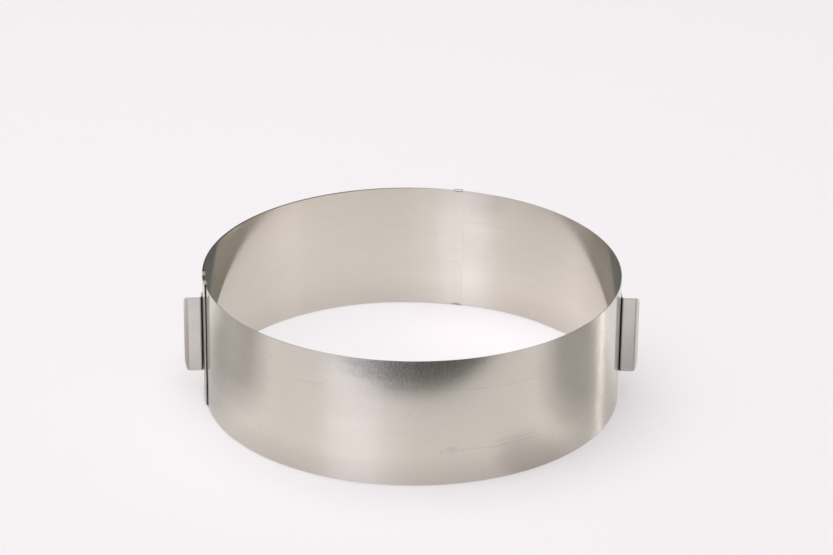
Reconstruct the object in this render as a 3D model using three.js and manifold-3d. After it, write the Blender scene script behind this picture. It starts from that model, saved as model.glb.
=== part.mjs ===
// An adjustable cake ring: one long strip of thin spring steel rolled into a spiral that overlaps
// itself, with two grips of folded sheet welded to its outside. Lugs at both ends of the strip fold
// over the edges of the other layer, so the layers slide along each other and the ring grows or
// shrinks. The strip flexes all along its length, which is shown here as a chain of short links.
//
// Millimetres, +Z up. The origin lies on the table in the middle of the ring, with a grip on the
// left and on the right. The strip runs clockwise, seen from above, from its outer end on the left.

import * as THREE from "three";
import { mergeVertices } from "three/addons/utils/BufferGeometryUtils.js";
import Module from "manifold-3d";

// Strip
const STRIP_HEIGHT = 85;
const STRIP_THICKNESS = 0.4;
const STRIP_LENGTH = 1115;
const OUTER_END_RADIUS = 134.7; // to the middle of the strip's thickness
const OUTER_END_ANGLE = 191.7; // degrees, counter-clockwise from +X
const LAYER_GAP = 0.5; // between two layers that lie over each other
const LINK_COUNT = 39;
const LINK_FACETS = 4;
const LINK_GAP = 0.2;

// Lugs, each in the middle of one facet of an end link
const OUTER_LUG_FACETS = [0, 2];
const INNER_LUG_FACETS = [LINK_FACETS - 1];
const LUG_WIDTH = 6;
const LUG_LIP = 4.5; // how far the folded lip reaches past the edge that it holds
const LUG_BEND = 0.3; // inner radius of a fold
const LUG_ROOT = 0.6; // how deep a lug is set into its own strip
const LUG_INSET = 0.02; // how far a lug's faces lie inside the strip's
const LUG_EDGE_CLEARANCE = 0.15; // between an edge and the fold over it
const LUG_PLAY = 0.62; // spare width for the layer that slides under a lug

// Grips: a flange on the strip, a web that stands out from it and a lip folded back
const LEFT_GRIP_AT = 17.8; // from the outer end along the strip to the middle of the web
const RIGHT_GRIP_AT = 454.7;
const GRIP_HEIGHT = 52;
const GRIP_THICKNESS = 0.8;
const GRIP_FLANGE = 9; // flat length beyond the bend
const GRIP_WEB = 8.7; // from the flange's seat to the start of the lip's bend
const GRIP_LIP = 5; // flat length beyond the bend
const GRIP_BEND = 1; // inner radius of both bends
const LIP_TURN = 70; // degrees
const FLANGE_CORNER = 3;
const LIP_CORNER = 7;
const GRIP_STEPS = 40;
const SEAT_GAP = 0.2;

// Spot welds, which leave shallow round dents in the flange
const WELD_COUNT = 3;
const WELD_SPACING = 16;
const WELD_DENT_RADIUS = 5;
const WELD_DENT_DEPTH = 0.25;

const FOLD_STEPS = 3; // segments in each quarter turn of a lug
const DENT_SEGMENTS = 24;
const STRIP_COLOR = 0xc7beb4;
const GRIP_COLOR = 0xa7a19b;

const linkLength = STRIP_LENGTH / LINK_COUNT;
const layerPitch = STRIP_THICKNESS + LAYER_GAP;
const lugThickness = STRIP_THICKNESS - 2 * LUG_INSET;
const stripBase = LUG_EDGE_CLEARANCE + lugThickness; // the lower lugs stand on the table
const stripTop = stripBase + STRIP_HEIGHT;
const outerEndAngle = THREE.MathUtils.degToRad(OUTER_END_ANGLE);

const wasm = await Module();
wasm.setup();

// Solids

function toSolid(geometry) {
  const bare = geometry.clone();
  bare.deleteAttribute("normal");
  bare.deleteAttribute("uv");
  const merged = mergeVertices(bare);
  const vertProperties = new Float32Array(merged.attributes.position.array);
  const triVerts = new Uint32Array(merged.index.array);
  return new wasm.Manifold(new wasm.Mesh({ numProp: 3, vertProperties, triVerts }));
}

function toGeometry(solid) {
  const { vertProperties, triVerts } = solid.getMesh();
  const geometry = new THREE.BufferGeometry();
  geometry.setAttribute("position", new THREE.BufferAttribute(vertProperties, 3));
  geometry.setIndex(new THREE.BufferAttribute(triVerts, 1));
  geometry.computeVertexNormals();
  return geometry;
}

// The direction across a line of points at one of them, as long as a mitred corner needs.
function acrossLine(points, i) {
  const before = points[Math.max(i - 1, 0)];
  const here = points[i];
  const after = points[Math.min(i + 1, points.length - 1)];
  const along = after.clone().sub(before).normalize();
  const across = new THREE.Vector2(-along.y, along.x);
  const leg = (i > 0 ? here.clone().sub(before) : after.clone().sub(here)).normalize();
  return across.divideScalar(along.dot(leg));
}

// A sheet that follows a line of points in XY. edgesAt gives its lower and upper edge in Z, by the
// distance along the line from its start and the line's whole length.
function bentSheet(points, thickness, edgesAt) {
  const steps = points.length - 1;
  const across = points.map((point, i) => acrossLine(points, i));
  const distances = [0];
  for (let i = 1; i <= steps; i += 1) {
    distances.push(distances[i - 1] + points[i].distanceTo(points[i - 1]));
  }
  const edges = distances.map((distance) => edgesAt(distance, distances[steps]));
  const geometry = new THREE.BoxGeometry(1, 1, 1, steps, 1, 1);
  const position = geometry.attributes.position;
  for (let v = 0; v < position.count; v += 1) {
    const i = Math.round((position.getX(v) + 0.5) * steps);
    const offset = position.getY(v) * thickness;
    const z = position.getZ(v) < 0 ? edges[i][0] : edges[i][1];
    position.setXYZ(v, points[i].x + across[i].x * offset, points[i].y + across[i].y * offset, z);
  }
  return geometry;
}

// Strip

// The angle that the strip has turned through, and its radius there, by distance from its outer end.
function turnAt(distance) {
  const square = OUTER_END_RADIUS ** 2 - (layerPitch * distance) / Math.PI;
  return ((OUTER_END_RADIUS - Math.sqrt(square)) * 2 * Math.PI) / layerPitch;
}

function radiusAt(distance) {
  return OUTER_END_RADIUS - (layerPitch * turnAt(distance)) / (2 * Math.PI);
}

function angleAt(distance) {
  return outerEndAngle - turnAt(distance);
}

function stripPoint(distance) {
  const angle = angleAt(distance);
  return new THREE.Vector2(Math.cos(angle), Math.sin(angle)).multiplyScalar(radiusAt(distance));
}

function linkPoints(index) {
  const start = index * linkLength + LINK_GAP / 2;
  const end = (index + 1) * linkLength - LINK_GAP / 2;
  const points = [];
  for (let i = 0; i <= LINK_FACETS; i += 1) {
    points.push(stripPoint(THREE.MathUtils.lerp(start, end, i / LINK_FACETS)));
  }
  return points;
}

function linkGeometry(index) {
  return bentSheet(linkPoints(index), STRIP_THICKNESS, () => [stripBase, stripTop]);
}

// A lug's line, from its root up over the edge and down again. X is away from its own layer, to the
// side given, and Y is up from the edge.
function lugLine(side) {
  const bend = LUG_BEND + lugThickness / 2;
  const reach = STRIP_THICKNESS / 2 + layerPitch + LUG_PLAY + lugThickness / 2;
  const crown = LUG_EDGE_CLEARANCE + lugThickness / 2;
  const points = [new THREE.Vector2(0, -LUG_ROOT)];
  for (const [centre, from] of [[bend, Math.PI], [reach - bend, Math.PI / 2]]) {
    for (let i = 0; i <= FOLD_STEPS; i += 1) {
      const angle = from - (i / FOLD_STEPS) * (Math.PI / 2);
      const x = centre + bend * Math.cos(angle);
      points.push(new THREE.Vector2(x * side, crown - bend + bend * Math.sin(angle)));
    }
  }
  points.push(new THREE.Vector2(reach * side, -LUG_LIP));
  return points;
}

// One lug on the upper or lower edge of a facet. It folds outwards for side 1, inwards for side -1.
function lugGeometry(linkIndex, facet, side, upper) {
  const points = linkPoints(linkIndex);
  const along = points[facet + 1].clone().sub(points[facet]).normalize();
  const middle = points[facet].clone().lerp(points[facet + 1], 0.5);
  const outwards = new THREE.Vector3(-along.y, along.x, 0);
  const up = new THREE.Vector3(0, 0, upper ? 1 : -1);
  const lug = bentSheet(lugLine(side), lugThickness, () => [-LUG_WIDTH / 2, LUG_WIDTH / 2]);
  const place = new THREE.Matrix4().makeBasis(outwards, up, outwards.clone().cross(up));
  place.setPosition(middle.x, middle.y, upper ? stripTop : stripBase);
  return lug.applyMatrix4(place);
}

function endLinkGeometry(index, facets, side) {
  let solid = toSolid(linkGeometry(index));
  for (const facet of facets) {
    for (const upper of [true, false]) {
      solid = solid.add(toSolid(lugGeometry(index, facet, side, upper)));
    }
  }
  return toGeometry(solid);
}

// Grips

// The grip's line in plan: X is away from the ring's middle, through the web, and Y is along the
// strip. The flange runs to positive Y for side 1 and to negative Y for side -1.
function gripLine(seatRadius, side) {
  const bend = GRIP_BEND + GRIP_THICKNESS / 2;
  const flangeRadius = seatRadius + GRIP_THICKNESS / 2;
  const bendX = Math.sqrt((flangeRadius + bend) ** 2 - bend ** 2);
  const bendAngle = Math.atan2(bend, bendX);
  const webEnd = seatRadius + GRIP_WEB;
  const turn = THREE.MathUtils.degToRad(LIP_TURN);
  const lipX = webEnd + bend * Math.sin(turn) + GRIP_LIP * Math.cos(turn);
  const lipY = bend - bend * Math.cos(turn) + GRIP_LIP * Math.sin(turn);
  const line = new THREE.Path();
  line.absarc(0, 0, flangeRadius, bendAngle + GRIP_FLANGE / flangeRadius, bendAngle, true);
  line.absarc(bendX, bend, bend, Math.PI + bendAngle, 1.5 * Math.PI, false);
  line.lineTo(webEnd, 0);
  line.absarc(webEnd, bend, bend, -Math.PI / 2, turn - Math.PI / 2, false);
  line.lineTo(lipX, lipY);
  return line.getSpacedPoints(GRIP_STEPS).map((point) => new THREE.Vector2(point.x, point.y * side));
}

// How far a rounded corner draws an edge in, at a distance from the end of the sheet.
function cornerDrop(distance, radius) {
  const inside = Math.max(radius - distance, 0);
  return radius - Math.sqrt(radius ** 2 - inside ** 2);
}

function gripEdges(distance, length) {
  const drop = cornerDrop(distance, FLANGE_CORNER) + cornerDrop(length - distance, LIP_CORNER);
  const half = GRIP_HEIGHT / 2 - drop;
  return [-half, half];
}

function gripGeometry(seatRadius, side) {
  let solid = toSolid(bentSheet(gripLine(seatRadius, side), GRIP_THICKNESS, gripEdges));
  const dent = new THREE.SphereGeometry(WELD_DENT_RADIUS, DENT_SEGMENTS, DENT_SEGMENTS / 2);
  const faceRadius = seatRadius + GRIP_THICKNESS;
  const dentRadius = faceRadius + WELD_DENT_RADIUS - WELD_DENT_DEPTH;
  const dentAngle = (side * (GRIP_BEND + GRIP_THICKNESS + GRIP_FLANGE / 2)) / faceRadius;
  for (let i = 0; i < WELD_COUNT; i += 1) {
    const z = (i - (WELD_COUNT - 1) / 2) * WELD_SPACING;
    const x = dentRadius * Math.cos(dentAngle);
    const y = dentRadius * Math.sin(dentAngle);
    solid = solid.subtract(toSolid(dent.clone().translate(x, y, z)));
  }
  return toGeometry(solid);
}

// Assembly

function steel(color) {
  return new THREE.MeshStandardMaterial({ color, roughness: 0.3, metalness: 0.95 });
}

function addPiece(group, name, geometry, material) {
  const piece = new THREE.Mesh(geometry, material);
  piece.name = name;
  group.add(piece);
  return piece;
}

function addStrip(group) {
  const last = LINK_COUNT - 1;
  addPiece(group, "strip_outer_end", endLinkGeometry(0, OUTER_LUG_FACETS, -1), steel(STRIP_COLOR));
  for (let i = 1; i < last; i += 1) {
    const name = `strip_${String(i + 1).padStart(2, "0")}`;
    addPiece(group, name, linkGeometry(i), steel(STRIP_COLOR));
  }
  addPiece(group, "strip_inner_end", endLinkGeometry(last, INNER_LUG_FACETS, 1), steel(STRIP_COLOR));
}

function addGrip(group, name, distance, side) {
  const seatRadius = radiusAt(distance) + STRIP_THICKNESS / 2 + SEAT_GAP;
  const grip = addPiece(group, name, gripGeometry(seatRadius, side), steel(GRIP_COLOR));
  grip.position.z = (stripBase + stripTop) / 2;
  grip.rotation.z = angleAt(distance);
}

const cakeRing = new THREE.Group();
cakeRing.name = "adjustable_cake_ring";

addStrip(cakeRing);
addGrip(cakeRing, "grip_left", LEFT_GRIP_AT, -1);
addGrip(cakeRing, "grip_right", RIGHT_GRIP_AT, 1);

export default cakeRing;
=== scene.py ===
"""Looks of the adjustable cake ring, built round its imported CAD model. Metres, +Z up."""

import math

import bmesh
import bpy
from mathutils import Matrix, Vector


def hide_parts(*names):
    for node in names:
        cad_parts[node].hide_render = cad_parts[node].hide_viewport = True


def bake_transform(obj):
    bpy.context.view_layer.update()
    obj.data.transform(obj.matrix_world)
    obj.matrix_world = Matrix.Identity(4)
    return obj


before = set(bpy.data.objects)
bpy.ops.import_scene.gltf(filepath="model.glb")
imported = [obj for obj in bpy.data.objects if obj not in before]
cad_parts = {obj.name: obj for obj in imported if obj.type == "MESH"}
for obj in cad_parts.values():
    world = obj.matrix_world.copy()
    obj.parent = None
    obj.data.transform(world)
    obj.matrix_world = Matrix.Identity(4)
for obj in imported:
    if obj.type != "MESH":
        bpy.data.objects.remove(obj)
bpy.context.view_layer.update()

MM = 0.001

# Strip, with the CAD model's sizes in millimetres
STRIP_HEIGHT = 85.0
STRIP_THICKNESS = 0.4
STRIP_LENGTH = 1115.0
OUTER_END_RADIUS = 134.7
OUTER_END_ANGLE = math.radians(191.7)
LAYER_GAP = 0.5
LAYER_PITCH = STRIP_THICKNESS + LAYER_GAP
LINK_COUNT = 39
LINK_FACETS = 4
LINK_LENGTH = STRIP_LENGTH / LINK_COUNT
EDGE_ROUND = 0.12

# Towards its inner end the strip leans outwards by HUG, from HUG_FROM on.
# Where the outer layer passes that end, it leans inwards by NESTLE, less and less to both sides.
HUG = 0.1
HUG_FROM = 900.0
NESTLE = 0.32
NESTLE_HALF_LENGTH = 75.0

# The last stretch at the inner end is ground down to a share of the thickness.
THIN_LENGTH = 8.0
THIN_SHARE = 0.15

# Low waves along the strip, which show only in reflections: (height, length per radian, shift)
RIPPLES = ((0.012, 43.0, 0.6), (0.008, 21.7, 2.0))

# Lugs, each in the middle of one facet of an end link
LUG_INSET = 0.02
LUG_THICKNESS = STRIP_THICKNESS - 2 * LUG_INSET
LUG_WIDTH = 6.0
LUG_LIP = 4.5
LUG_BEND = 0.3
LUG_ROOT = 0.6
LUG_EDGE_CLEARANCE = 0.15
LUG_PLAY = 0.62
LUG_CORNER = 1.2
LUG_EDGE_ROUND = 0.1
FACET_LENGTH = LINK_LENGTH / LINK_FACETS
OUTER_LUGS_AT = (0.5 * FACET_LENGTH, 2.5 * FACET_LENGTH)
INNER_LUGS_AT = (STRIP_LENGTH - 0.5 * FACET_LENGTH,)

# The lower lugs stand on the table.
STRIP_BASE = LUG_EDGE_CLEARANCE + LUG_THICKNESS

# Grips
LEFT_GRIP_AT = 17.8
RIGHT_GRIP_AT = 454.7
GRIP_HEIGHT = 52.0
GRIP_THICKNESS = 0.8
GRIP_FLANGE = 9.0
GRIP_WEB = 8.7
GRIP_LIP = 5.0
GRIP_BEND = 1.0
LIP_TURN = math.radians(70)
FLANGE_CORNER = 3.0
LIP_CORNER = 7.0
GRIP_EDGE_ROUND = 0.18
SEAT_GAP = 0.2

# Spot welds in the middle of each flange
WELD_SPACING = 16.0
WELD_HEIGHTS = (-WELD_SPACING, 0.0, WELD_SPACING)
WELD_FROM_WEB = GRIP_BEND + GRIP_THICKNESS / 2 + GRIP_FLANGE / 2
WELDS_AT = (LEFT_GRIP_AT + WELD_FROM_WEB, RIGHT_GRIP_AT - WELD_FROM_WEB)
WELD_DENT_RADIUS = 5.0
WELD_DENT_DEPTH = 0.25
WELD_RIM_HEIGHT = 0.05
WELD_RIM_WIDTH = 0.35

# Fineness of the meshes, as steps in millimetres and as counts
STATION_STEP = 1.0
AXIS_STEP = 0.05
NORMAL_STEP = 0.2
SMALLEST_STEP = 0.004
CORNER_TOLERANCE = 0.001
CORNER_STEPS = 3
END_ROUND_STEPS = 5
STRIP_ROWS = 12
LUG_ROWS = 4
LUG_BEND_STEPS = 10
LUG_LIP_STEP = 0.5
GRIP_ROWS = 120
FLANGE_STEPS = 30
GRIP_BEND_STEPS = 14
WEB_STEP = 0.4
LIP_STEP = 0.3

# These keep the rounded ends and edges of a bent sheet from closing up.
END_DROP_SHARE = 0.999
ROUND_LIMIT = 0.98

# Metres added to the height in the UV map of an inner face, so that it has a grain of its own
INSIDE_UV_SHIFT = 1.0

# Marks on the strip: (height, length along the strip) in metres
SCRATCHES = (((0.0649, 0.6474), (0.0629, 0.5743)), ((0.0627, 0.7312), (0.0638, 0.7145)),
             ((0.0261, 0.6058), (0.0252, 0.5793)), ((0.0231, 0.6292), (0.0222, 0.5808)))
OUTER_DOTS = ((0.0224, 0.6417), (0.0490, 0.6610), (0.0231, 0.6777),
              (0.0722, 0.7548), (0.0206, 0.7656), (0.0188, 0.5642))
INNER_DOTS = ((0.0707, 0.9939), (0.0048, 1.0087), (0.0087, 1.0460))
SMUDGE = (0.0236, 0.6349)

# Painted shade on the inner face near the rim, darkening the top of the wall: (height, length along the
# strip, radius, share)
RIM_SHADE_PLACES = ((0.084, 0.287, 0.025, 0.22), (0.084, 1.104, 0.022, 0.1))

# Sizes of the marks in metres, and how far some stretch along the strip
SCRATCH_WIDTH = 0.0005
SCRATCH_WOBBLE = 0.002
DOT_RADIUS = 0.0007
SMUDGE_RADIUS = 0.0034
SMUDGE_STRETCH = 1.9
WELD_TINT_RADIUS = 0.0042
WELD_CORE_RADIUS = 0.0018
GRIP_TINT_RADIUS = 0.0038
GRIP_CORE_RADIUS = 0.0017
FOLD_SHADE_RADIUS = 0.0018
FOLD_SHADE_STRETCH = 2.6
LOW_SHADE_HEIGHT = 0.024
CUT_EDGE = 0.00016
CUT_EDGE_FULL = 0.00005

# A mark is full up to this share of its radius or width.
SPOT_CORE = 0.3
SCRATCH_CORE = 0.25

# All steel: stretches of the noise over which colour changes, the share of it that makes the grain
# uneven, and the relief in metres
BROAD_RANGE = (0.3, 0.7)
STREAK_RANGE = (0.35, 0.75)
HAIR_RANGE = (0.70, 0.80)
UNEVEN_SHARE = 0.08
RELIEF_DEPTH = 0.00005

# Steel of the strip. Stains and painted shades are each a share and a colour.
STRIP_DARK = (0.705, 0.665, 0.585, 1)
STRIP_LIGHT = (0.735, 0.695, 0.615, 1)
STRIP_STREAK = (0.22, (0.76, 0.725, 0.65, 1))
HAIR_STAIN = (0.14, (0.45, 0.42, 0.37, 1))
SCRATCH_STAIN = (0.24, (0.22, 0.215, 0.2, 1))
DOT_STAIN = (0.5, (0.16, 0.155, 0.15, 1))
SMUDGE_STAIN = (0.34, (0.40, 0.44, 0.50, 1))
WELD_STAIN = (0.3, (0.50, 0.41, 0.28, 1))
WELD_CORE_STAIN = (0.35, (0.40, 0.40, 0.41, 1))
# Painted shade at the roots of the folded lugs
FOLD_PAINTED_SHADE = (0.6, (0.22, 0.20, 0.17, 1))
CUT_STAIN = (0.8, (0.26, 0.25, 0.22, 1))
# Colour of the painted shade along the lower edge and near the inner rim
PAINTED_SHADE_COLOR = (0.25, 0.235, 0.21, 1)
STRIP_MATT_RANGE = (0.54, 0.59)
STRIP_ROUGHNESS = (0.095, 0.46)
CUT_ROUGHNESS = 0.5

# Scratches break up, and the smudge is streaky, but they never fade below these shares.
WORN_RANGE = (0.36, 0.62)
WORN_LEAST = 0.1
STREAKY_RANGE = (0.3, 0.6)
STREAKY_LEAST = 0.4

# Painted shade: the lower edge is darker by these shares, a painted reflection of the floor's contact
# shadow. U passes FACE_SWITCH between the outer and inner faces.
LOW_SHADE_OUTSIDE = 0.19
LOW_SHADE_INSIDE = 0.1
FACE_SWITCH = (0.4 * INSIDE_UV_SHIFT, 0.6 * INSIDE_UV_SHIFT)

# Steel of the grips
GRIP_DARK = (0.67, 0.64, 0.605, 1)
GRIP_LIGHT = (0.73, 0.70, 0.665, 1)
GRIP_STREAK = (0.35, (0.78, 0.75, 0.715, 1))
# Painted shade in the inner bend of the grips
GROOVE_PAINTED_SHADE = (0.9, (0.04, 0.038, 0.036, 1))
GRIP_WELD_STAIN = (0.35, (0.42, 0.33, 0.21, 1))
GRIP_CORE_STAIN = (0.5, (0.24, 0.245, 0.26, 1))
GRIP_MATT_RANGE = (0.50, 0.58)
GRIP_ROUGHNESS = (0.16, 0.46)

# Metres along a grip's line where the painted shade of its inner bend sets in and leaves off
GROOVE_START = (0.0080, 0.0094)
GROOVE_END = (0.0109, 0.0103)

# Steel of the lugs, and the metres along a lug's line over which the dark of its fold fades
LUG_DARK = (0.48, 0.455, 0.40, 1)
LUG_LIGHT = (0.62, 0.59, 0.53, 1)
LUG_ROUGHNESS = (0.32, 0.44)
CROWN_COLOR = (0.13, 0.125, 0.11, 1)
CROWN_FADE = (0.0030, 0.0024)

# Floor: its size in metres, its paint, and the colour and share of it that are seen without shade
FLOOR_RADIUS = 12.0
FLOOR_SIDES = 96
FLOOR_PAINT = (0.90, 0.875, 0.885, 1)
FLOOR_PLAIN = (0.92, 0.895, 0.904, 1)
PLAIN_SHARE = 0.3

# The metal sees the table end in front of the ring, a little askew on the right.
TABLE_END = (-0.25, -0.27)
TABLE_SLANT = 0.06
BEYOND_COLOR = (0.02, 0.028, 0.03, 1)

# The metal sees a darker floor in these places: (x, y, radius, share).
# Those at the sides reach outwards without end.
SIDE_SHADES = ((0.228, -0.055, 0.12, 0.58), (-0.225, -0.015, 0.12, 0.6))
NEAR_SHADE = (0.094, -0.121, 0.045, 0.24)
SHADE_COLOR = (0.12, 0.11, 0.10, 1)
SHADE_FULL = 0.3

# Painted light at the back wall's foot, where more of the floor glows without shade: (x, y, radius,
# share)
LIGHT_FOOT = (-0.065, 0.098, 0.095, 0.45)

# The floor after a second and a third reflection
SECOND_COLOR = (0.24, 0.24, 0.23, 1)
SECOND_SHARE = 0.6
THIRD_COLOR = (0.12, 0.19, 0.25, 1)
THIRD_SHARE = 0.3

# Surroundings, low down and high up: the camera's side and the other sides as the metal sees them,
# and the light that they give. The camera itself sees the backdrop.
HIGH_UP = 0.9
FRONT_LOW = (0.14, 0.155, 0.165, 1)
FRONT_HIGH = (0.085, 0.095, 0.10, 1)
FRONT_FADE = (-0.94, -0.76)
SIDES_LOW = (0.58, 0.58, 0.58, 1)
SIDES_HIGH = (0.36, 0.36, 0.365, 1)
FILL_LOW = (0.32, 0.315, 0.33, 1)
FILL_HIGH = (0.64, 0.635, 0.655, 1)
BACKDROP = (0.913, 0.88, 0.888, 1)

# It keeps the direction straight up from a division by nothing.
LEAST_FLAT = 0.001

# Lamps turn towards this point.
LAMP_AIM = Vector((0.0, 0.0, 0.04))

# Camera, from both rims in the photo
CAMERA_TARGET = Vector((2.7, 0.0, 80.0)) * MM
CAMERA_ELEVATION = math.radians(24.62)
CAMERA_DISTANCE = 2.125
CAMERA_ROLL = math.radians(0.57)
CAMERA_LENS = 142.8
CAMERA_SENSOR = 36.0
CAMERA_CLIP = (0.05, 60.0)


# Strip line

def clamped(t):
    return min(max(t, 0.0), 1.0)


def smooth(t):
    """A smooth step from 0 to 1."""
    t = clamped(t)
    return t * t * (3 - 2 * t)


def turn_at(s):
    """The angle turned from the outer end to a place along the strip."""
    square = OUTER_END_RADIUS ** 2 - LAYER_PITCH * s / math.pi
    return (OUTER_END_RADIUS - math.sqrt(square)) * 2 * math.pi / LAYER_PITCH


def radius_at(s):
    return OUTER_END_RADIUS - LAYER_PITCH * turn_at(s) / (2 * math.pi)


def angle_at(s):
    return OUTER_END_ANGLE - turn_at(s)


def strip_point(s):
    return Vector((math.cos(angle_at(s)), math.sin(angle_at(s)))) * radius_at(s)


def strip_axes(s):
    """Direction along the strip and outwards across it, in plan."""
    along = (strip_point(s + AXIS_STEP) - strip_point(s - AXIS_STEP)).normalized()
    return along, Vector((-along.y, along.x))


def outside_of_inner_end():
    """Where along the strip the outer layer passes outside the inner end."""
    turn = turn_at(STRIP_LENGTH) - 2 * math.pi
    radius = OUTER_END_RADIUS - LAYER_PITCH * turn / (2 * math.pi)
    return (OUTER_END_RADIUS ** 2 - radius ** 2) * math.pi / LAYER_PITCH


NESTLE_AT = outside_of_inner_end()


def stray(s):
    """How far the strip lies outside the CAD model's line."""
    hug = HUG * smooth((s - HUG_FROM) / (STRIP_LENGTH - HUG_FROM))
    near = min(abs(s - NESTLE_AT) / NESTLE_HALF_LENGTH, 1.0)
    nestle = NESTLE * math.cos(near * math.pi / 2) ** 2
    ripple = sum(height * math.sin(s / length + shift) for height, length, shift in RIPPLES)
    return hug - nestle + ripple


def face_point(s, offset, z):
    """A point at a distance along the strip, an offset outwards from its middle and a height."""
    _, outwards = strip_axes(s)
    p = strip_point(s) + outwards * (offset + stray(s))
    return Vector((p.x, p.y, STRIP_BASE + z)) * MM


def thinned(s, offset):
    """The inner end is ground thin on its inner face, so that it leaves no step in the cake."""
    t = clamped((s - STRIP_LENGTH + THIN_LENGTH) / THIN_LENGTH)
    outer = STRIP_THICKNESS / 2
    return outer - (outer - offset) * (1 - t * (1 - THIN_SHARE))


# Meshes

def new_piece(name, bm, material):
    mesh = bpy.data.meshes.new(name)
    bm.to_mesh(mesh)
    bm.free()
    obj = bpy.data.objects.new(name, mesh)
    bpy.context.scene.collection.objects.link(obj)
    mesh.materials.append(material)
    return obj


def arc_points(centre, radius, start, end, steps):
    angles = [start + (end - start) * i / steps for i in range(steps + 1)]
    return [Vector((centre[0] + radius * math.cos(a), centre[1] + radius * math.sin(a)))
            for a in angles]


def line_points(a, b, step):
    """Points from a to b, without a itself."""
    count = max(1, round((b - a).length / step))
    return [a.lerp(b, i / count) for i in range(1, count + 1)]


def rounded_loop(half, low, high, radius, rows):
    """A sheet's cross-section as (offset, height, side), up its outer face and down its inner face."""
    corners = []
    for sign, z, start in ((1, high, 0), (-1, high, 90), (-1, low, 180), (1, low, 270)):
        middle = sign * (half - radius)
        level = z - radius if z == high else z + radius
        angles = [math.radians(start + 90 * i / CORNER_STEPS) for i in range(CORNER_STEPS + 1)]
        corners.append([(middle + radius * math.cos(a), level + radius * math.sin(a)) for a in angles])
    top_out, top_in, low_in, low_out = corners
    heights = [low + radius + (high - low - 2 * radius) * i / rows for i in range(1, rows)]
    outer = [(half, z) for z in heights]
    inner = [(-half, z) for z in reversed(heights)]
    loop = [(o, z, 1) for o, z in outer + top_out]
    loop += [(o, z, -1) for o, z in top_in + inner + low_in]
    loop += [(o, z, 1) for o, z in low_out]
    return loop


def loft(rings):
    """A closed body through rings of points, with flat ends."""
    bm = bmesh.new()
    verts = [[bm.verts.new(p) for p in ring] for ring in rings]
    count = len(rings[0])
    for a, b in zip(verts, verts[1:]):
        for j in range(count):
            k = (j + 1) % count
            face = bm.faces.new((a[j], a[k], b[k], b[j]))
            face.smooth = True
    bm.faces.new(list(reversed(verts[0])))
    bm.faces.new(verts[-1])
    bmesh.ops.recalc_face_normals(bm, faces=bm.faces)
    return bm


def set_uv(obj, coordinates):
    """One UV map in metres. U runs across the grain and V along it."""
    layer = obj.data.uv_layers.new(name="UVMap")
    for polygon in obj.data.polygons:
        places = [coordinates[vertex] for vertex in polygon.vertices]
        on_rim = min(u for u, _ in places) < INSIDE_UV_SHIFT
        for loop, (u, v) in zip(polygon.loop_indices, places):
            layer.data[loop].uv = (u % INSIDE_UV_SHIFT if on_rim else u, v)


def set_normals(obj, normals):
    """Smooth faces take the normals given for their vertices, so that pieces meet without a seam."""
    mesh = obj.data
    values = [None] * len(mesh.loops)
    for polygon in mesh.polygons:
        for i in polygon.loop_indices:
            vertex = mesh.loops[i].vertex_index
            values[i] = normals[vertex] if polygon.use_smooth else polygon.normal
    mesh.normals_split_custom_set(values)


def sharp_caps(obj):
    """Edges round the flat ends stay sharp."""
    mesh = obj.data
    flat = {key for p in mesh.polygons if not p.use_smooth for key in p.edge_keys}
    for edge in mesh.edges:
        if edge.key in flat:
            edge.use_edge_sharp = True


def inner_shift(side):
    """What the UV map adds to U on the outer face, side 1, or on the inner face, side -1."""
    return INSIDE_UV_SHIFT if side < 0 else 0.0


# Materials

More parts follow.
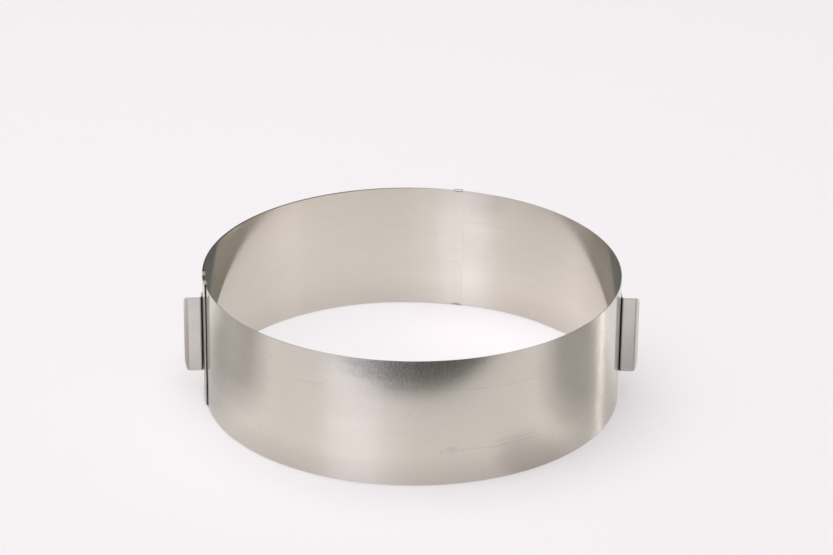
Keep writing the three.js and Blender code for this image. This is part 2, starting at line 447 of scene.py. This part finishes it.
class Nodes:
    """A short hand for building a node tree."""

    MIX_A = 6
    MIX_B = 7
    MIX_RESULT = 2

    def __init__(self, tree):
        self.tree = tree
        tree.nodes.clear()

    def add(self, kind, inputs=(), **settings):
        node = self.tree.nodes.new(kind)
        for key, value in settings.items():
            setattr(node, key, value)
        for key, value in dict(inputs).items():
            self.put(node.inputs[key], value)
        return node

    def put(self, socket, value):
        if isinstance(value, bpy.types.NodeSocket):
            self.tree.links.new(value, socket)
        else:
            socket.default_value = value

    def math(self, operation, *values, clamp=False):
        node = self.add("ShaderNodeMath", operation=operation, use_clamp=clamp)
        for socket, value in zip(node.inputs, values):
            self.put(socket, value)
        return node.outputs[0]

    def times(self, a, b):
        return self.math("MULTIPLY", a, b)

    def minus(self, a, b):
        return self.math("SUBTRACT", a, b)

    def plus(self, a, b):
        return self.math("ADD", a, b)

    def largest(self, values):
        total = values[0]
        for value in values[1:]:
            total = self.math("MAXIMUM", total, value)
        return total

    def ramp(self, value, low, high, to_low=0.0, to_high=1.0):
        """A smooth step, from to_low where the value is low to to_high where it is high."""
        inputs = {"Value": value, "From Min": low, "From Max": high,
                  "To Min": to_low, "To Max": to_high}
        return self.add("ShaderNodeMapRange", inputs, interpolation_type="SMOOTHSTEP").outputs[0]

    def noise(self, u, v, along, across, shift=0.0, detail=2.0, roughness=0.5):
        """Noise with so many turns per metre along the grain and across it."""
        place = self.add("ShaderNodeCombineXYZ",
                         {0: self.times(u, across), 1: self.times(v, along), 2: shift})
        inputs = {"Vector": place.outputs[0], "Scale": 1.0, "Detail": detail, "Roughness": roughness}
        return self.add("ShaderNodeTexNoise", inputs, noise_dimensions="3D").outputs["Fac"]

    def scratch(self, u, v, wobble, a, b):
        """1 on a line between two points, 0 beside it."""
        way = Vector(b) - Vector(a)
        x, y = way.normalized()
        du = self.minus(u, (a[0] + b[0]) / 2)
        dv = self.minus(v, (a[1] + b[1]) / 2)
        along = self.plus(self.times(du, x), self.times(dv, y))
        across = self.minus(self.times(dv, x), self.times(du, y))
        across = self.math("ABSOLUTE", self.plus(across, wobble))
        past = self.minus(self.math("ABSOLUTE", along), way.length / 2)
        return self.ramp(self.largest([across, past]), SCRATCH_WIDTH, SCRATCH_WIDTH * SCRATCH_CORE)

    def spot(self, u, v, centre, radius, stretch=1.0):
        """1 at a point, falling to 0 at a radius in metres, which is stretched along V."""
        du = self.minus(u, centre[0])
        dv = self.math("DIVIDE", self.minus(v, centre[1]), stretch)
        square = self.plus(self.times(du, du), self.times(dv, dv))
        return self.ramp(self.math("SQRT", square), radius, radius * SPOT_CORE)

    def spots(self, u, v, centres, radius, stretch=1.0):
        return self.largest([self.spot(u, v, centre, radius, stretch) for centre in centres])

    def mix_color(self, fac, a, b):
        node = self.add("ShaderNodeMix", {0: fac}, data_type="RGBA")
        self.put(node.inputs[self.MIX_A], a)
        self.put(node.inputs[self.MIX_B], b)
        return node.outputs[self.MIX_RESULT]

    def blend_tint(self, color, mask, share, tint):
        """The colour, turned to the tint by a share of the mask, for stains and painted shades alike."""
        return self.mix_color(self.times(mask, share), color, tint)


def new_material(name):
    material = bpy.data.materials.new(name)
    material.use_nodes = True
    return material, Nodes(material.node_tree)


def uv_axes(n):
    """Sockets of U and V."""
    uv = n.add("ShaderNodeUVMap", uv_map="UVMap")
    split = n.add("ShaderNodeSeparateXYZ", {0: uv.outputs[0]})
    return split.outputs[0], split.outputs[1]


def matt_places(n, u, v, broad, streaks):
    """Fine grain, a little denser in some places and streaks."""
    grain = n.noise(u, v, along=1500.0, across=9000.0, shift=7.0, detail=1.0)
    uneven = n.minus(n.plus(broad, streaks), 1.0)
    return n.plus(n.times(uneven, UNEVEN_SHARE), grain)


def metal_output(n, color, rough, relief, strength, anisotropic=None):
    """Metal with a fine relief. With anisotropy it smears reflections across its grain."""
    bump = n.add("ShaderNodeBump", {"Height": relief, "Strength": strength, "Distance": RELIEF_DEPTH})
    inputs = {"Base Color": color, "Metallic": 1.0, "Roughness": rough, "Normal": bump.outputs[0]}
    if anisotropic is not None:
        tangent = n.add("ShaderNodeTangent", direction_type="UV_MAP", uv_map="UVMap")
        inputs["Anisotropic"] = anisotropic
        inputs["Tangent"] = tangent.outputs[0]
    shader = n.add("ShaderNodeBsdfPrincipled", inputs)
    n.add("ShaderNodeOutputMaterial", {"Surface": shader.outputs[0]})


def use_marks_and_rim_shade(n, u, v, streaks, color):
    """Scratches, dots, a smudge, and painted shade near the top of the inner face."""
    bend = n.noise(u, v, along=70.0, across=70.0, shift=17.0)
    wobble = n.times(n.minus(bend, 0.5), SCRATCH_WOBBLE)
    worn = n.noise(u, v, along=260.0, across=20.0, shift=19.0)
    broken = n.ramp(worn, *WORN_RANGE, to_low=WORN_LEAST)
    lines = n.largest([n.scratch(u, v, wobble, a, b) for a, b in SCRATCHES])
    color = n.blend_tint(color, n.times(lines, broken), *SCRATCH_STAIN)
    inner_dots = tuple((INSIDE_UV_SHIFT + height, s) for height, s in INNER_DOTS)
    color = n.blend_tint(color, n.spots(u, v, OUTER_DOTS + inner_dots, DOT_RADIUS), *DOT_STAIN)
    smudge = n.spot(u, v, SMUDGE, SMUDGE_RADIUS, SMUDGE_STRETCH)
    streaky = n.ramp(streaks, *STREAKY_RANGE, to_low=STREAKY_LEAST)
    color = n.blend_tint(color, n.times(smudge, streaky), *SMUDGE_STAIN)
    # Painted shade near the top of the inner face
    rim_shades = []
    for height, s, radius, share in RIM_SHADE_PLACES:
        rim_shades.append(n.times(n.spot(u, v, (INSIDE_UV_SHIFT + height, s), radius), share))
    return n.mix_color(n.largest(rim_shades), color, PAINTED_SHADE_COLOR)


def weld_tints_and_fold_shade(n, u, v, color):
    """Heat tints behind the welds, and painted shade at the corners where lugs are folded."""
    welds = [(INSIDE_UV_SHIFT + (STRIP_HEIGHT / 2 + z) * MM, s * MM)
             for s in WELDS_AT for z in WELD_HEIGHTS]
    color = n.blend_tint(color, n.spots(u, v, welds, WELD_TINT_RADIUS), *WELD_STAIN)
    color = n.blend_tint(color, n.spots(u, v, welds, WELD_CORE_RADIUS), *WELD_CORE_STAIN)
    # Painted shade where the lugs fold over the rims
    faces = ((0.0, OUTER_LUGS_AT), (INSIDE_UV_SHIFT, INNER_LUGS_AT))
    fold_shades = [(shift + z * MM, s * MM)
             for shift, places in faces for s in places for z in (0.0, STRIP_HEIGHT)]
    return n.blend_tint(color, n.spots(u, v, fold_shades, FOLD_SHADE_RADIUS, FOLD_SHADE_STRETCH), *FOLD_PAINTED_SHADE)


def strip_steel():
    """Cold-rolled spring steel: rolling lines along the strip, which smear reflections up and down."""
    material, n = new_material("strip_steel")
    u, v = uv_axes(n)
    height = n.math("FRACT", u)
    top = STRIP_HEIGHT * MM
    broad = n.noise(u, v, along=7.0, across=30.0, detail=3.0, roughness=0.55)
    streaks = n.noise(u, v, along=5.0, across=420.0, shift=3.0, detail=3.0, roughness=0.6)
    hairs = n.noise(u, v, along=14.0, across=1500.0, shift=11.0, detail=1.0)
    color = n.mix_color(n.ramp(broad, *BROAD_RANGE), STRIP_DARK, STRIP_LIGHT)
    color = n.blend_tint(color, n.ramp(streaks, *STREAK_RANGE), *STRIP_STREAK)
    color = n.blend_tint(color, n.ramp(hairs, *HAIR_RANGE), *HAIR_STAIN)
    # Painted shade along the lower edge, standing in for the reflected contact shadow
    low_shade_share = n.ramp(u, *FACE_SWITCH, LOW_SHADE_OUTSIDE, LOW_SHADE_INSIDE)
    color = n.blend_tint(color, n.ramp(height, LOW_SHADE_HEIGHT, 0.0), low_shade_share, PAINTED_SHADE_COLOR)
    color = use_marks_and_rim_shade(n, u, v, streaks, color)
    color = weld_tints_and_fold_shade(n, u, v, color)
    cut = n.largest([n.ramp(height, CUT_EDGE, CUT_EDGE_FULL),
                     n.ramp(height, top - CUT_EDGE, top - CUT_EDGE_FULL)])
    color = n.blend_tint(color, cut, *CUT_STAIN)
    rough = n.ramp(matt_places(n, u, v, broad, streaks), *STRIP_MATT_RANGE, *STRIP_ROUGHNESS)
    rough = n.largest([rough, n.times(cut, CUT_ROUGHNESS)])
    metal_output(n, color, rough, streaks, strength=0.02, anisotropic=1.0)
    return material


def grip_steel():
    """Rolled sheet of the grips, a little duller than the strip, with its grain upright."""
    material, n = new_material("grip_steel")
    u, v = uv_axes(n)
    way = n.math("FRACT", u)
    broad = n.noise(u, v, along=60.0, across=60.0, detail=3.0, roughness=0.55)
    streaks = n.noise(u, v, along=25.0, across=900.0, shift=3.0, detail=3.0, roughness=0.6)
    color = n.mix_color(n.ramp(broad, *BROAD_RANGE), GRIP_DARK, GRIP_LIGHT)
    color = n.blend_tint(color, n.ramp(streaks, *STREAK_RANGE), *GRIP_STREAK)
    # Painted shade in the inner bend, next to the wall
    groove_shade = n.times(n.ramp(way, *GROOVE_START), n.ramp(way, *GROOVE_END))
    color = n.blend_tint(color, groove_shade, *GROOVE_PAINTED_SHADE)
    welds = [(GRIP_FLANGE / 2 * MM, z * MM) for z in WELD_HEIGHTS]
    color = n.blend_tint(color, n.spots(way, v, welds, GRIP_TINT_RADIUS), *GRIP_WELD_STAIN)
    color = n.blend_tint(color, n.spots(way, v, welds, GRIP_CORE_RADIUS), *GRIP_CORE_STAIN)
    rough = n.ramp(matt_places(n, u, v, broad, streaks), *GRIP_MATT_RANGE, *GRIP_ROUGHNESS)
    metal_output(n, color, rough, streaks, strength=0.03, anisotropic=0.9)
    return material


def lug_steel(name, crown_share):
    """Steel of the lugs, darker than the strip, and darker still on the fold by a share."""
    material, n = new_material(name)
    u, v = uv_axes(n)
    broad = n.noise(u, v, along=300.0, across=300.0, detail=3.0, roughness=0.6)
    color = n.mix_color(n.ramp(broad, *BROAD_RANGE), LUG_DARK, LUG_LIGHT)
    crown = n.ramp(n.math("FRACT", u), *CROWN_FADE)
    color = n.blend_tint(color, crown, crown_share, CROWN_COLOR)
    rough = n.ramp(broad, *BROAD_RANGE, *LUG_ROUGHNESS)
    metal_output(n, color, rough, broad, strength=0.1)
    return material


STRIP_STEEL = strip_steel()
GRIP_STEEL = grip_steel()
OUTER_LUG_STEEL = lug_steel("outer_lug_steel", crown_share=0.0)
INNER_LUG_STEEL = lug_steel("inner_lug_steel", crown_share=0.4)


# Strip pieces

def body_of_link(i):
    if i == 0:
        return "outer_end"
    return "inner_end" if i == LINK_COUNT - 1 else f"strip_{i + 1:02d}"


def node_of_link(i):
    body = body_of_link(i)
    return body if body.startswith("strip_") else f"strip_{body}"


def flex(obj):
    """Bakes the piece's placement into its mesh."""
    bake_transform(obj)


def strip_piece(hinge):
    """The strip from the middle of one link to the middle of the next, or to its end."""
    first = 0.0 if hinge == 0 else (hinge + 0.5) * LINK_LENGTH
    last = STRIP_LENGTH if hinge == LINK_COUNT - 2 else (hinge + 1.5) * LINK_LENGTH
    steps = round((last - first) / STATION_STEP)
    loop = rounded_loop(STRIP_THICKNESS / 2, 0.0, STRIP_HEIGHT, EDGE_ROUND, STRIP_ROWS)
    count = len(loop)

    def station(s):
        return [face_point(s, thinned(s, o), z) for o, z, _ in loop]

    rings = []
    uvs = []
    normals = []
    for i in range(steps + 1):
        s = first + (last - first) * i / steps
        ring = station(s)
        before = station(s - NORMAL_STEP)
        after = station(s + NORMAL_STEP)
        rings.append(ring)
        for j, (_, z, side) in enumerate(loop):
            along = (after[j] - before[j]).normalized()
            past_flat = abs(z - STRIP_HEIGHT / 2) - STRIP_HEIGHT / 2 + EDGE_ROUND
            if past_flat > CORNER_TOLERANCE:
                round_loop = (ring[(j + 1) % count] - ring[j - 1]).normalized()
            else:
                round_loop = Vector((0, 0, side))
            normals.append(round_loop.cross(along).normalized())
            uvs.append((z * MM + inner_shift(side), s * MM))
    obj = new_piece(f"strip_flex_{hinge + 1:02d}", loft(rings), STRIP_STEEL)
    set_uv(obj, uvs)
    sharp_caps(obj)
    set_normals(obj, normals)
    flex(obj)
    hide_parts(node_of_link(hinge))
    if hinge == LINK_COUNT - 2:
        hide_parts(node_of_link(hinge + 1))


# Bent sheets

def end_steps(points, radius):
    """A line with more points near both ends, for the rounding there, and their distances along it."""
    distances = [0.0]
    for a, b in zip(points, points[1:]):
        distances.append(distances[-1] + (b - a).length)
    length = distances[-1]
    quarter = math.pi / 2
    extra = [radius * (1 - math.cos(quarter * i / END_ROUND_STEPS)) for i in range(1, END_ROUND_STEPS)]
    wanted = sorted(set(distances) | set(extra) | {length - x for x in extra})
    kept = [0.0]
    for d in wanted:
        if d - kept[-1] > SMALLEST_STEP and length - d > SMALLEST_STEP:
            kept.append(d)
    kept.append(length)
    line = []
    k = 0
    for d in kept:
        while k < len(points) - 2 and distances[k + 1] < d:
            k += 1
        share = (d - distances[k]) / (distances[k + 1] - distances[k])
        line.append(points[k].lerp(points[k + 1], share))
    return line, kept


def corner_drop(distance, radius):
    """How far a rounded corner draws in at a distance from its end."""
    inside = max(radius - distance, 0.0)
    return radius - math.sqrt(max(radius ** 2 - inside ** 2, 0.0))


def bent_sheet(name, points, thickness, edge_round, half_height, rows, place, material, dent=None):
    """A closed sheet with rounded edges along a line. half_height(distance, length) is half its width."""
    line, distances = end_steps(points, edge_round)
    length = distances[-1]
    rings = []
    uvs = []
    for i, (p, d) in enumerate(zip(line, distances)):
        along = (line[min(i + 1, len(line) - 1)] - line[max(i - 1, 0)]).normalized()
        across = Vector((-along.y, along.x))
        near_end = min(d, length - d)
        half = thickness / 2 - corner_drop(near_end, edge_round) * END_DROP_SHARE
        high = half_height(d, length)
        ring = []
        for o, z, side in rounded_loop(half, -high, high, min(edge_round, half * ROUND_LIMIT), rows):
            push = dent(d, z, side) if dent else 0.0
            q = p + across * (o + push)
            ring.append(place @ Vector((q.x, q.y, z)))
            uvs.append((d * MM + inner_shift(side), z * MM))
        rings.append(ring)
    obj = new_piece(name, loft(rings), material)
    set_uv(obj, uvs)
    sharp_caps(obj)
    return obj


# Lugs

def lug_points(side, lean):
    """A lug's line over the edge and back: X outwards from its own layer, Y away from the edge."""
    bend = LUG_BEND + LUG_THICKNESS / 2
    reach = STRIP_THICKNESS / 2 + LAYER_PITCH - lean + LUG_PLAY + LUG_THICKNESS / 2
    crown = LUG_EDGE_CLEARANCE + LUG_THICKNESS / 2
    quarter = math.pi / 2
    points = [Vector((0.0, -LUG_ROOT))]
    points += arc_points((bend, crown - bend), bend, math.pi, quarter, LUG_BEND_STEPS)
    points += arc_points((reach - bend, crown - bend), bend, quarter, 0.0, LUG_BEND_STEPS)
    points += line_points(points[-1], Vector((reach, -LUG_LIP)), LUG_LIP_STEP)
    return [Vector((p.x * side, p.y)) for p in points]


def lug_half(distance, length):
    return LUG_WIDTH / 2 - corner_drop(length - distance, LUG_CORNER)


def lug(name, s, side, upper, material):
    """A lug that folds outwards for side 1, inwards for side -1, over the upper or lower edge."""
    _, outwards = strip_axes(s)
    middle = strip_point(s) + outwards * stray(s)
    up = Vector((0, 0, 1 if upper else -1))
    out = Vector((outwards.x, outwards.y, 0))
    turn = Matrix((out, up, out.cross(up))).transposed().to_4x4()
    edge = STRIP_BASE + (STRIP_HEIGHT if upper else 0.0)
    place = Matrix.Scale(MM, 4) @ Matrix.Translation((middle.x, middle.y, edge)) @ turn
    points = lug_points(side, stray(s))
    obj = bent_sheet(name, points, LUG_THICKNESS, LUG_EDGE_ROUND, lug_half, LUG_ROWS, place, material)
    flex(obj)


# Grips

def grip_points(seat, side):
    """The grip's line in plan: X away from the ring's middle through the web, Y along the strip."""
    bend = GRIP_BEND + GRIP_THICKNESS / 2
    flange = seat + GRIP_THICKNESS / 2
    bend_x = math.sqrt((flange + bend) ** 2 - bend ** 2)
    bend_angle = math.atan2(bend, bend_x)
    web_end = seat + GRIP_WEB
    quarter = math.pi / 2
    points = arc_points((0, 0), flange, bend_angle + GRIP_FLANGE / flange, bend_angle, FLANGE_STEPS)
    points += arc_points((bend_x, bend), bend, math.pi + bend_angle, 3 * quarter, GRIP_BEND_STEPS)[1:]
    points += line_points(points[-1], Vector((web_end, 0.0)), WEB_STEP)
    points += arc_points((web_end, bend), bend, -quarter, LIP_TURN - quarter, GRIP_BEND_STEPS)[1:]
    lip = Vector((math.cos(LIP_TURN), math.sin(LIP_TURN))) * GRIP_LIP
    points += line_points(points[-1], points[-1] + lip, LIP_STEP)
    return [Vector((p.x, p.y * side)) for p in points]


def grip_half(distance, length):
    flange_drop = corner_drop(distance, FLANGE_CORNER)
    return GRIP_HEIGHT / 2 - flange_drop - corner_drop(length - distance, LIP_CORNER)


def weld_dent(side):
    """Shallow round dents with a low rim on the flange's outer face."""
    rim = math.sqrt(2 * WELD_DENT_RADIUS * WELD_DENT_DEPTH)

    def push(distance, z, face):
        if face != side:
            return 0.0
        total = 0.0
        for height in WELD_HEIGHTS:
            r = math.hypot(distance - GRIP_FLANGE / 2, z - height)
            if r < rim:
                ball = math.sqrt(WELD_DENT_RADIUS ** 2 - r * r)
                total -= WELD_DENT_DEPTH - WELD_DENT_RADIUS + ball
            total += WELD_RIM_HEIGHT * math.exp(-((r - rim) / WELD_RIM_WIDTH) ** 2)
        return total * side

    return push


def grip(name, s, side):
    seat = radius_at(s) + STRIP_THICKNESS / 2 + SEAT_GAP
    middle = Matrix.Translation((0, 0, STRIP_BASE + STRIP_HEIGHT / 2))
    place = Matrix.Scale(MM, 4) @ middle @ Matrix.Rotation(angle_at(s), 4, "Z")
    obj = bent_sheet(name, grip_points(seat, side), GRIP_THICKNESS, GRIP_EDGE_ROUND, grip_half,
                     GRIP_ROWS, place, GRIP_STEEL, weld_dent(side))
    flex(obj)
    return obj


for hinge in range(LINK_COUNT - 1):
    strip_piece(hinge)

for k, s in enumerate(OUTER_LUGS_AT):
    for edge in ("top", "low"):
        lug(f"lug_outer_{edge}_{k + 1}", s, -1, edge == "top", OUTER_LUG_STEEL)
for s in INNER_LUGS_AT:
    for edge in ("top", "low"):
        lug(f"lug_inner_{edge}", s, 1, edge == "top", INNER_LUG_STEEL)

left = grip("grip_left_sheet", LEFT_GRIP_AT, -1)
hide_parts("grip_left")
right = grip("grip_right_sheet", RIGHT_GRIP_AT, 1)
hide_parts("grip_right")


# Floor, light and camera

def mirror_rays(n):
    """The Light Path node, and 1 for a ray that comes from the camera by way of metal alone."""
    path = n.add("ShaderNodeLightPath")
    clear = n.math("SUBTRACT", 1.0, path.outputs["Diffuse Depth"], clamp=True)
    return path, n.times(path.outputs["Is Glossy Ray"], clear)


def after_reflections(n, path, mirrored, count):
    """1 for a ray that metal has reflected at least so many times."""
    return n.times(n.ramp(path.outputs["Glossy Depth"], count - 0.8, count - 0.2), mirrored)


def floor_spot(n, x, y, spot):
    """A place on the floor, as strong as its share."""
    centre_x, centre_y, radius, share = spot
    return n.times(n.spot(x, y, (centre_x, centre_y), radius), share)


def floor_shades(n, x, y):
    """The darker places of the floor. Past the middle of those at the sides, only Y counts."""
    shades = [floor_spot(n, x, y, NEAR_SHADE)]
    for shade in SIDE_SHADES:
        centre_x = shade[0]
        inner_x = n.math("MINIMUM" if centre_x > 0 else "MAXIMUM", x, centre_x)
        shades.append(floor_spot(n, inner_x, y, shade))
    return n.largest(shades)


def floor_material():
    """Pale table. The camera and the metal see part of its colour as it is, and the rest shaded."""
    material, n = new_material("pale_floor")
    path, mirrored = mirror_rays(n)
    seen = n.largest([path.outputs["Is Camera Ray"], mirrored])
    place = n.add("ShaderNodeNewGeometry")
    split = n.add("ShaderNodeSeparateXYZ", {0: place.outputs["Position"]})
    x, y, _ = split.outputs
    slanted = n.minus(y, n.times(n.math("MAXIMUM", x, 0.0), TABLE_SLANT))
    beyond = n.times(n.ramp(slanted, *TABLE_END), mirrored)
    shade = n.times(floor_shades(n, x, y), mirrored)
    second = after_reflections(n, path, mirrored, 2)
    third = after_reflections(n, path, mirrored, 3)
    color = n.mix_color(n.ramp(shade, 0.0, SHADE_FULL), FLOOR_PLAIN, SHADE_COLOR)
    color = n.mix_color(beyond, color, BEYOND_COLOR)
    color = n.mix_color(second, color, SECOND_COLOR)
    color = n.mix_color(third, color, THIRD_COLOR)
    # Painted light: near the back wall's foot more of the floor glows without shade
    own_share = n.plus(floor_spot(n, x, y, LIGHT_FOOT), PLAIN_SHARE)
    deep = n.plus(n.times(second, SECOND_SHARE), n.times(third, THIRD_SHARE))
    unshaded = n.largest([n.times(seen, own_share), beyond, deep, shade])
    diffuse = n.add("ShaderNodeBsdfDiffuse", {"Color": FLOOR_PAINT})
    glow = n.add("ShaderNodeEmission", {"Color": color, "Strength": 1.0})
    mix = n.add("ShaderNodeMixShader", {0: unshaded, 1: diffuse.outputs[0], 2: glow.outputs[0]})
    n.add("ShaderNodeOutputMaterial", {"Surface": mix.outputs[0]})
    return material


def make_floor():
    bm = bmesh.new()
    bmesh.ops.create_circle(bm, cap_ends=True, radius=FLOOR_RADIUS, segments=FLOOR_SIDES)
    floor = new_piece("floor", bm, floor_material())


def make_world():
    world = bpy.data.worlds.new("studio")
    bpy.context.scene.world = world
    world.use_nodes = True
    n = Nodes(world.node_tree)
    path, mirrored = mirror_rays(n)
    position = n.add("ShaderNodeTexCoord")
    way = n.add("ShaderNodeSeparateXYZ", {0: position.outputs["Generated"]})
    x, y, z = way.outputs
    level = n.ramp(z, 0.0, HIGH_UP)
    flat = n.math("SQRT", n.plus(n.times(x, x), n.times(y, y)))
    aside = n.ramp(n.math("DIVIDE", y, n.plus(flat, LEAST_FLAT)), *FRONT_FADE)
    front = n.mix_color(level, FRONT_LOW, FRONT_HIGH)
    sides = n.mix_color(level, SIDES_LOW, SIDES_HIGH)
    glossy = n.mix_color(aside, front, sides)
    fill = n.mix_color(level, FILL_LOW, FILL_HIGH)
    color = n.mix_color(mirrored, fill, glossy)
    color = n.mix_color(path.outputs["Is Camera Ray"], color, BACKDROP)
    back = n.add("ShaderNodeBackground", {"Color": color, "Strength": 1.0})
    n.add("ShaderNodeOutputWorld", {"Surface": back.outputs[0]})


def make_panel(name, azimuth, elevation, distance, size, power, color, lights=False):
    """A soft panel that shows in the metal, and lights the floor if it is told to.

    Azimuth 0 is in front of the ring, on the camera's side, and 90 is to its right.
    """
    data = bpy.data.lights.new(name, "AREA")
    data.shape = "RECTANGLE"
    data.size, data.size_y = size
    data.energy = power
    data.color = color
    lamp = bpy.data.objects.new(name, data)
    bpy.context.scene.collection.objects.link(lamp)
    a = math.radians(azimuth)
    e = math.radians(elevation)
    way = Vector((math.sin(a) * math.cos(e), -math.cos(a) * math.cos(e), math.sin(e)))
    lamp.location = way * distance + LAMP_AIM
    lamp.rotation_mode = "QUATERNION"
    lamp.rotation_quaternion = way.to_track_quat("Z", "Y")
    lamp.visible_camera = False
    lamp.visible_diffuse = lights


def make_panels():
    make_panel("window_left", azimuth=-32, elevation=42, distance=2.2, size=(1.0, 1.3), power=43,
               color=(0.80, 0.785, 1.0))
    make_panel("window_gap", azimuth=-4.8, elevation=42, distance=2.2, size=(0.2, 1.3), power=2.2,
               color=(0.95, 0.95, 1.0))
    make_panel("key_left", azimuth=-110, elevation=84, distance=2.4, size=(2.4, 2.4), power=36,
               color=(1.0, 0.98, 0.98), lights=True)
    make_panel("lamp_right", azimuth=82, elevation=38, distance=2.4, size=(0.3, 1.0), power=4,
               color=(1.0, 0.97, 0.95))
    make_panel("lamp_left", azimuth=-119, elevation=38, distance=2.4, size=(0.36, 1.0), power=13,
               color=(0.90, 0.84, 1.0))
    make_panel("lamp_low", azimuth=115, elevation=1.2, distance=2.4, size=(0.12, 0.12), power=9,
               color=(1.0, 0.98, 0.96))


def make_camera():
    data = bpy.data.cameras.new("camera")
    data.lens = CAMERA_LENS
    data.sensor_width = CAMERA_SENSOR
    data.clip_start, data.clip_end = CAMERA_CLIP
    camera = bpy.data.objects.new("camera", data)
    bpy.context.scene.collection.objects.link(camera)
    back = Vector((0, -math.cos(CAMERA_ELEVATION), math.sin(CAMERA_ELEVATION)))
    turn = (-back).to_track_quat("-Z", "Y").to_matrix().to_4x4()
    place = Matrix.Translation(CAMERA_TARGET + back * CAMERA_DISTANCE)
    camera.matrix_world = place @ turn @ Matrix.Rotation(CAMERA_ROLL, 4, "Z")
    bpy.context.scene.camera = camera


make_floor()
make_world()
make_panels()
make_camera()
bpy.context.scene.view_settings.view_transform = "Standard"
